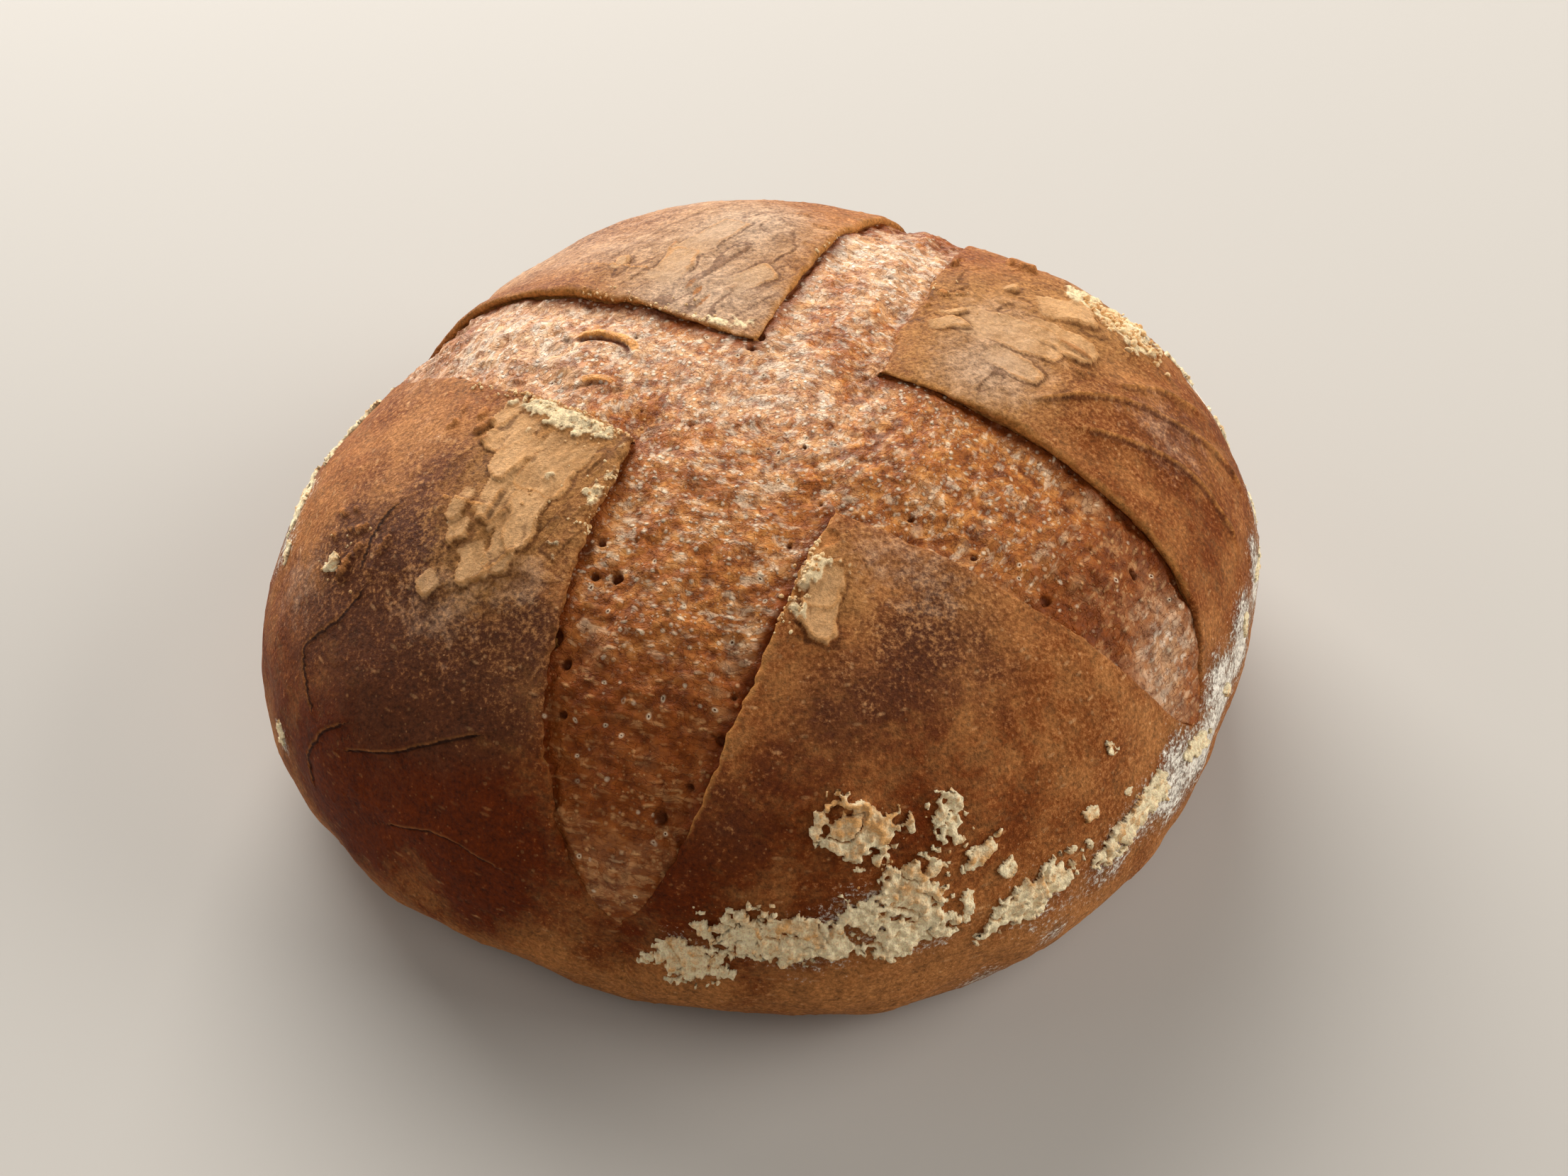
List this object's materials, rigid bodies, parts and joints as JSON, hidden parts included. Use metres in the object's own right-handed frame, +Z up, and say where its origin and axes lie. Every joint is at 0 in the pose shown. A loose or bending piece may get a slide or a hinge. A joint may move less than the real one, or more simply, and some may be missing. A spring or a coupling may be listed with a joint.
{
  "type": "sourdough loaf",
  "caption": "Round free-standing sourdough loaf, scored with a cross, its crust lifted in torn petals beside the paler sunken arms, with a flat foot to rest on.",
  "frame": {"origin": "centre of the flat foot's box at the surface the loaf rests on", "axes": "+Z up, -Y towards the side of the loaf with the flour paste on its lower flank, +X to the right of it"},
  "size_m": [0.258, 0.2542, 0.1123],
  "materials": {
    "baked_crust": "satin matt browned bread crust"
  },
  "bodies": {
    "root": {"loaf": "baked_crust"}
  },
  "joints": []
}
